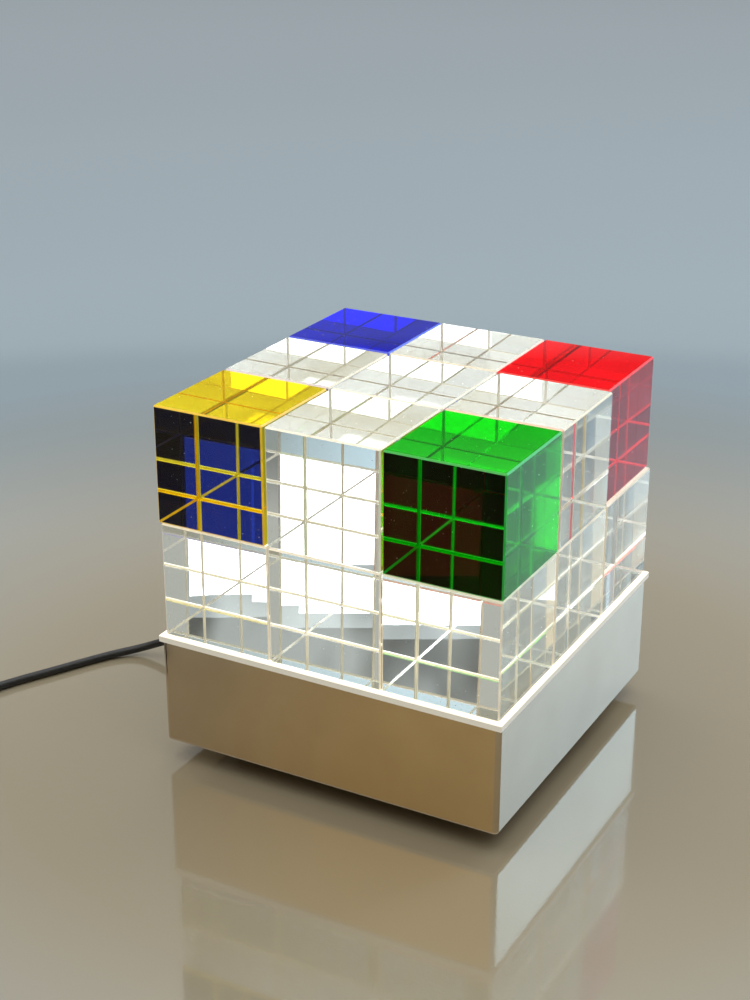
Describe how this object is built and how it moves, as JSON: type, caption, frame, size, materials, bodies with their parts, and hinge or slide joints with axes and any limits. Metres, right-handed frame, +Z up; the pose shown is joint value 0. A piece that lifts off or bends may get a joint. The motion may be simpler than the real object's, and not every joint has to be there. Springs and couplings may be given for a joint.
{
  "type": "table lamp",
  "caption": "Square table lamp: loose acrylic cubes, clear with coloured upper corners, stacked on a lit opal plate over a mirror-polished steel box, with a corded rocker switch and plug.",
  "frame": {"origin": "centre of the lamp's square footprint, on the surface that it stands on", "axes": "+Z up, -Y the front face, the cord leaves low on the -X face"},
  "size_m": [0.5268, 0.5373, 0.3126],
  "materials": {
    "clear_acrylic": "polished, clear",
    "yellow_acrylic": "polished, clear yellow",
    "green_acrylic": "polished, clear green",
    "red_acrylic": "polished, clear red",
    "blue_acrylic": "polished, clear blue",
    "opal_acrylic": "satin, lit from below",
    "mirror_steel": "mirror polished",
    "zinc_steel": "zinc plated",
    "screw_steel": "plated",
    "black_board": "painted matt black",
    "pad_rubber": "matt",
    "white_enamel": "white enamel",
    "board_white": "white solder mask",
    "chip_yellow": "phosphor",
    "driver_plastic": "moulded",
    "block_plastic": "moulded nylon",
    "wire_black": "insulated",
    "earth_green": "insulated",
    "brass": "bright",
    "cord_black": "satin",
    "black_moulding": "moulded, satin"
  },
  "bodies": {
    "lamp_base": {"bottom_cover": "zinc_steel", "clamp_screws": "screw_steel", "coil_tie": "black_moulding", "cord_clamp_bar": "block_plastic", "cord_clamp_base": "block_plastic", "cord_coil": "cord_black", "cord_inner": "cord_black", "cord_link": "cord_black", "cord_run": "cord_black", "cord_sleeve": "black_moulding", "cover_screws": "screw_steel", "diffuser_plate": "opal_acrylic", "driver_screws": "screw_steel", "earth_stud": "brass", "earth_wire": "earth_green", "light_board": "board_white", "light_chips": "chip_yellow", "light_driver": "driver_plastic", "light_tray": "white_enamel", "light_wires": "wire_black", "mirror_box": "mirror_steel", "plate_locators": "opal_acrylic", "plate_posts": "clear_acrylic", "plinth": "black_board", "plinth_screws": "screw_steel", "plug_body": "black_moulding", "plug_lead": "cord_black", "plug_pins": "brass", "rubber_pads": "pad_rubber", "sleeve_nut": "black_moulding", "supply_wires": "wire_black", "switch_lower_shell": "black_moulding", "switch_pivot_pin": "screw_steel", "switch_screws": "screw_steel", "switch_upper_shell": "black_moulding", "terminal_block": "block_plastic", "tray_grommet": "pad_rubber", "tray_posts": "zinc_steel", "tray_screws": "screw_steel"},
    "lower_front_left_cube": {"cube_lower_front_left": "clear_acrylic"},
    "lower_front_cube": {"cube_lower_front": "clear_acrylic"},
    "lower_front_right_cube": {"cube_lower_front_right": "clear_acrylic"},
    "lower_left_cube": {"cube_lower_left": "clear_acrylic"},
    "lower_centre_cube": {"cube_lower_centre": "clear_acrylic"},
    "lower_right_cube": {"cube_lower_right": "clear_acrylic"},
    "lower_back_left_cube": {"cube_lower_back_left": "clear_acrylic"},
    "lower_back_cube": {"cube_lower_back": "clear_acrylic"},
    "lower_back_right_cube": {"cube_lower_back_right": "clear_acrylic"},
    "upper_yellow_cube": {"cube_upper_yellow": "yellow_acrylic"},
    "upper_front_cube": {"cube_upper_front": "clear_acrylic"},
    "upper_green_cube": {"cube_upper_green": "green_acrylic"},
    "upper_left_cube": {"cube_upper_left": "clear_acrylic"},
    "upper_centre_cube": {"cube_upper_centre": "clear_acrylic"},
    "upper_right_cube": {"cube_upper_right": "clear_acrylic"},
    "upper_blue_cube": {"cube_upper_blue": "blue_acrylic"},
    "upper_back_cube": {"cube_upper_back": "clear_acrylic"},
    "upper_red_cube": {"cube_upper_red": "red_acrylic"},
    "rocker": {"switch_rocker": "black_moulding"}
  },
  "joints": [
    {"name": "lift_lower_front_left", "type": "slide", "parent": "lamp_base", "child": "lower_front_left_cube", "axis": [0, 0, 1], "range_m": [0, 0.11]},
    {"name": "lift_lower_front", "type": "slide", "parent": "lamp_base", "child": "lower_front_cube", "axis": [0, 0, 1], "range_m": [0, 0.11]},
    {"name": "lift_lower_front_right", "type": "slide", "parent": "lamp_base", "child": "lower_front_right_cube", "axis": [0, 0, 1], "range_m": [0, 0.11]},
    {"name": "lift_lower_left", "type": "slide", "parent": "lamp_base", "child": "lower_left_cube", "axis": [0, 0, 1], "range_m": [0, 0.11]},
    {"name": "lift_lower_centre", "type": "slide", "parent": "lamp_base", "child": "lower_centre_cube", "axis": [0, 0, 1], "range_m": [0, 0.11]},
    {"name": "lift_lower_right", "type": "slide", "parent": "lamp_base", "child": "lower_right_cube", "axis": [0, 0, 1], "range_m": [0, 0.11]},
    {"name": "lift_lower_back_left", "type": "slide", "parent": "lamp_base", "child": "lower_back_left_cube", "axis": [0, 0, 1], "range_m": [0, 0.11]},
    {"name": "lift_lower_back", "type": "slide", "parent": "lamp_base", "child": "lower_back_cube", "axis": [0, 0, 1], "range_m": [0, 0.11]},
    {"name": "lift_lower_back_right", "type": "slide", "parent": "lamp_base", "child": "lower_back_right_cube", "axis": [0, 0, 1], "range_m": [0, 0.11]},
    {"name": "lift_upper_yellow", "type": "slide", "parent": "lower_front_left_cube", "child": "upper_yellow_cube", "axis": [0, 0, 1], "range_m": [0, 0.11]},
    {"name": "lift_upper_front", "type": "slide", "parent": "lower_front_cube", "child": "upper_front_cube", "axis": [0, 0, 1], "range_m": [0, 0.11]},
    {"name": "lift_upper_green", "type": "slide", "parent": "lower_front_right_cube", "child": "upper_green_cube", "axis": [0, 0, 1], "range_m": [0, 0.11]},
    {"name": "lift_upper_left", "type": "slide", "parent": "lower_left_cube", "child": "upper_left_cube", "axis": [0, 0, 1], "range_m": [0, 0.11]},
    {"name": "lift_upper_centre", "type": "slide", "parent": "lower_centre_cube", "child": "upper_centre_cube", "axis": [0, 0, 1], "range_m": [0, 0.11]},
    {"name": "lift_upper_right", "type": "slide", "parent": "lower_right_cube", "child": "upper_right_cube", "axis": [0, 0, 1], "range_m": [0, 0.11]},
    {"name": "lift_upper_blue", "type": "slide", "parent": "lower_back_left_cube", "child": "upper_blue_cube", "axis": [0, 0, 1], "range_m": [0, 0.11]},
    {"name": "lift_upper_back", "type": "slide", "parent": "lower_back_cube", "child": "upper_back_cube", "axis": [0, 0, 1], "range_m": [0, 0.11]},
    {"name": "lift_upper_red", "type": "slide", "parent": "lower_back_right_cube", "child": "upper_red_cube", "axis": [0, 0, 1], "range_m": [0, 0.11]},
    {"name": "rocker_tilt", "type": "hinge", "parent": "lamp_base", "child": "rocker", "pos_m": [-0.36, -0.209, 0.015], "axis": [1, 0, 0], "range_deg": [-16, 0]}
  ]
}
